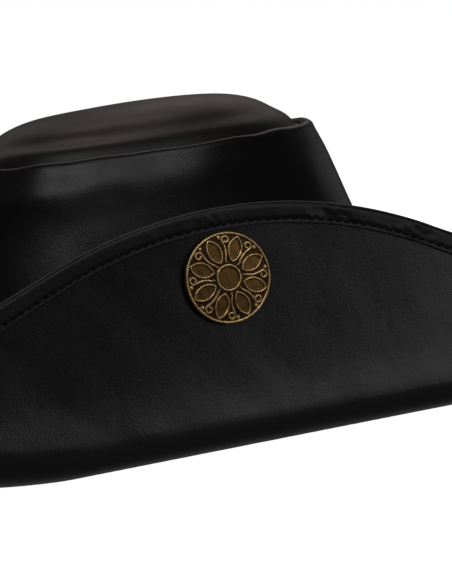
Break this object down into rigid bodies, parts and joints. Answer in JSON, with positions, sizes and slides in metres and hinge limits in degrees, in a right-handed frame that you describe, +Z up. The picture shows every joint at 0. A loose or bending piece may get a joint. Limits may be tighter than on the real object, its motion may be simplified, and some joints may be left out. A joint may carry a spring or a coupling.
{
  "type": "tricorn hat",
  "caption": "Leather tricorn hat: oval domed crown, brim folded up in three flaps with a bound wired edge, and round ornaments that turn on screws.",
  "frame": {"origin": "centre of the head opening, in the plane that the underside of the brim rests on", "axes": "+Z up through the crown, -Y towards the front point, +X towards the wearer's left"},
  "size_m": [0.3046, 0.3016, 0.1192],
  "materials": {
    "crown_leather": "black smooth-grain leather, semi-matte",
    "brim_leather": "black smooth-grain leather, semi-matte",
    "binding_leather": "thin black leather strip, folded and puckered",
    "sweatband_leather": "thin dark leather, worn smooth",
    "lining_leather": "thin split leather, flesh side out",
    "thread": "waxed black twisted thread",
    "edge_wire": "drawn spring wire",
    "joiner_metal": "crimped soft sleeve",
    "concho_brass": "antiqued brass, dark in the recesses",
    "screw_metal": "turned, slotted"
  },
  "bodies": {
    "hat": {"crown_tip": "crown_leather", "crown_side": "crown_leather", "crown_tip_thread": "thread", "crown_back_seam_thread": "thread", "crown_back_stay": "lining_leather", "crown_base_thread": "thread", "brim": "brim_leather", "brim_edge_wire": "edge_wire", "wire_joiner": "joiner_metal", "brim_binding": "binding_leather", "binding_thread": "thread", "sweatband": "sweatband_leather", "sweatband_thread": "thread", "sweatband_join_tab": "sweatband_leather"},
    "left_concho": {"concho_left": "concho_brass", "concho_screw_left": "screw_metal"},
    "right_concho": {"concho_right": "concho_brass", "concho_screw_right": "screw_metal"},
    "back_concho": {"concho_back": "concho_brass", "concho_screw_back": "screw_metal"}
  },
  "joints": [
    {"name": "left_concho_turn", "type": "hinge", "parent": "hat", "child": "left_concho", "pos_m": [0.0795, -0.05352, 0.05881], "axis": [0.8821, -0.469, 0.0426], "continuous": true},
    {"name": "right_concho_turn", "type": "hinge", "parent": "hat", "child": "right_concho", "pos_m": [-0.0795, -0.05352, 0.05881], "axis": [-0.8821, -0.469, 0.0426], "continuous": true},
    {"name": "back_concho_turn", "type": "hinge", "parent": "hat", "child": "back_concho", "pos_m": [0, 0.1149, 0.02939], "axis": [0, 0.9946, 0.1037], "continuous": true}
  ]
}
